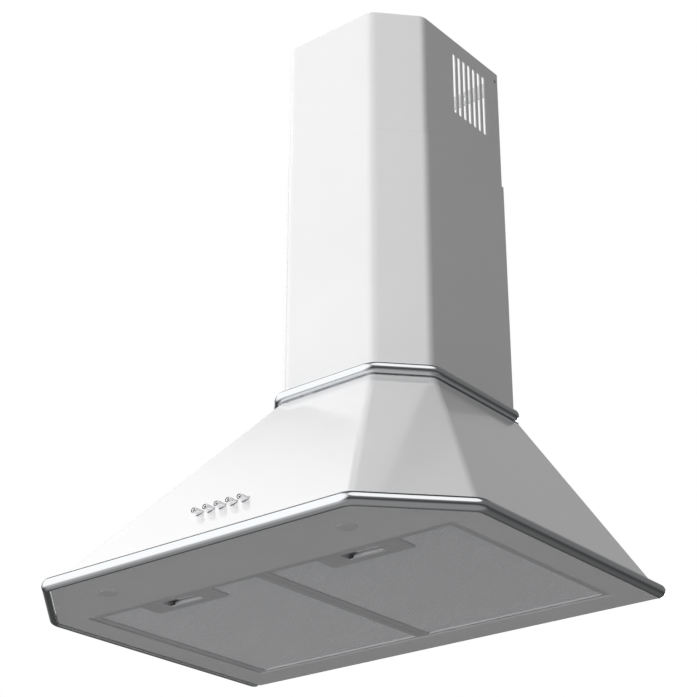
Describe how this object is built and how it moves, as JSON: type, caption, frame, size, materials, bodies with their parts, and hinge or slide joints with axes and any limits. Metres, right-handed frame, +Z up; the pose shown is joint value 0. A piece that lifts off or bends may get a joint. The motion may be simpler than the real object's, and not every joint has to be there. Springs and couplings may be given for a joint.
{
  "type": "chimney range hood",
  "caption": "Wall chimney range hood: white pyramid canopy with chrome rails, telescoping chimney, push buttons, lamps and latched grease filters under a centrifugal blower.",
  "frame": {"origin": "on the wall plane, on the hood's centre line, level with the underside panel", "axes": "+X to the hood's right as seen from the wall's opposite side, +Y into the wall, +Z up; the front faces -Y"},
  "size_m": [0.6202, 0.4591, 0.7867],
  "materials": {
    "white_enamel": "glossy white stove enamel",
    "grey_enamel": "satin grey enamel",
    "galvanised_steel": "zinc-coated sheet",
    "plated_steel": "bright zinc plating",
    "chrome": "polished",
    "motor_aluminium": "cast, satin",
    "filter_aluminium": "satin",
    "filter_mesh": "layers of expanded mesh",
    "black_plastic": "matte",
    "white_plastic": "matte",
    "frosted_glass": "frosted",
    "grey_rubber": "matte"
  },
  "bodies": {
    "hood": {"canopy_shell": "white_enamel", "underside_panel": "grey_enamel", "back_panel": "galvanised_steel", "back_panel_rivets": "plated_steel", "lower_rail": "chrome", "lower_rail_screws": "plated_steel", "upper_rail": "chrome", "upper_rail_screws": "plated_steel", "support_plate": "galvanised_steel", "lower_chimney_cover": "white_enamel", "lower_cover_screws": "plated_steel", "blower_housing": "galvanised_steel", "blower_side_plate": "galvanised_steel", "blower_screws": "plated_steel", "motor_bracket": "galvanised_steel", "motor_screws": "plated_steel", "motor_body": "motor_aluminium", "capacitor": "white_plastic", "capacitor_clip": "galvanised_steel", "duct_collar": "black_plastic", "damper_pin": "plated_steel", "junction_box": "black_plastic", "junction_box_lid": "black_plastic", "cable_gland": "black_plastic", "switch_bracket": "galvanised_steel", "switch_block": "black_plastic", "lamp_lens_left": "frosted_glass", "lamp_lens_right": "frosted_glass", "lamp_body_left": "motor_aluminium", "lamp_body_right": "motor_aluminium", "lamp_driver": "white_plastic", "motor_lead": "grey_rubber", "switch_lead": "grey_rubber", "lamp_leads": "grey_rubber", "driver_lead": "grey_rubber"},
    "upper_chimney": {"upper_chimney_cover": "white_enamel", "upper_chimney_bracket": "galvanised_steel", "upper_chimney_screws": "plated_steel"},
    "blower_wheel": {"impeller": "galvanised_steel", "motor_shaft": "plated_steel"},
    "damper_left": {"damper_flap_left": "black_plastic"},
    "damper_right": {"damper_flap_right": "black_plastic"},
    "filter_left": {"filter_frame_left": "filter_aluminium", "filter_mesh_left": "filter_mesh", "filter_handle_left": "filter_aluminium"},
    "filter_right": {"filter_frame_right": "filter_aluminium", "filter_mesh_right": "filter_mesh", "filter_handle_right": "filter_aluminium"},
    "latch_left": {"filter_latch_left": "chrome"},
    "latch_right": {"filter_latch_right": "chrome"},
    "push_button_1": {"button_1": "chrome"},
    "push_button_2": {"button_2": "chrome"},
    "push_button_3": {"button_3": "chrome"},
    "push_button_4": {"button_4": "chrome"},
    "push_button_5": {"button_5": "chrome"}
  },
  "joints": [
    {"name": "upper_chimney_slide", "type": "slide", "parent": "hood", "child": "upper_chimney", "axis": [0, 0, 1], "range_m": [-0.165, 0.115]},
    {"name": "blower_spin", "type": "hinge", "parent": "hood", "child": "blower_wheel", "pos_m": [0, -0.1697, 0.15], "axis": [1, 0, 0], "continuous": true},
    {"name": "damper_left_hinge", "type": "hinge", "parent": "hood", "child": "damper_left", "pos_m": [0, -0.1127, 0.2832], "axis": [0, 1, 0], "range_deg": [0, 75]},
    {"name": "damper_right_hinge", "type": "hinge", "parent": "hood", "child": "damper_right", "pos_m": [0, -0.1127, 0.2832], "axis": [0, -1, 0], "range_deg": [0, 75]},
    {"name": "filter_left_hinge", "type": "hinge", "parent": "hood", "child": "filter_left", "pos_m": [-0.13025, -0.0425, 0.0024], "axis": [1, 0, 0], "range_deg": [0, 60]},
    {"name": "latch_left_slide", "type": "slide", "parent": "filter_left", "child": "latch_left", "axis": [0, 1, 0], "range_m": [0, 0.004], "stiffness_N_per_m": 400, "springref_m": -0.002},
    {"name": "filter_right_hinge", "type": "hinge", "parent": "hood", "child": "filter_right", "pos_m": [0.13025, -0.0425, 0.0024], "axis": [1, 0, 0], "range_deg": [0, 60]},
    {"name": "latch_right_slide", "type": "slide", "parent": "filter_right", "child": "latch_right", "axis": [0, 1, 0], "range_m": [0, 0.004], "stiffness_N_per_m": 400, "springref_m": -0.002},
    {"name": "push_button_1_press", "type": "slide", "parent": "hood", "child": "push_button_1", "axis": [0, 1, 0], "range_m": [0, 0.0035], "stiffness_N_per_m": 600, "springref_m": -0.001},
    {"name": "push_button_2_press", "type": "slide", "parent": "hood", "child": "push_button_2", "axis": [0, 1, 0], "range_m": [0, 0.0035], "stiffness_N_per_m": 600, "springref_m": -0.001},
    {"name": "push_button_3_press", "type": "slide", "parent": "hood", "child": "push_button_3", "axis": [0, 1, 0], "range_m": [0, 0.0035], "stiffness_N_per_m": 600, "springref_m": -0.001},
    {"name": "push_button_4_press", "type": "slide", "parent": "hood", "child": "push_button_4", "axis": [0, 1, 0], "range_m": [0, 0.0035], "stiffness_N_per_m": 600, "springref_m": -0.001},
    {"name": "push_button_5_press", "type": "slide", "parent": "hood", "child": "push_button_5", "axis": [0, 1, 0], "range_m": [0, 0.0035], "stiffness_N_per_m": 600, "springref_m": -0.001}
  ]
}
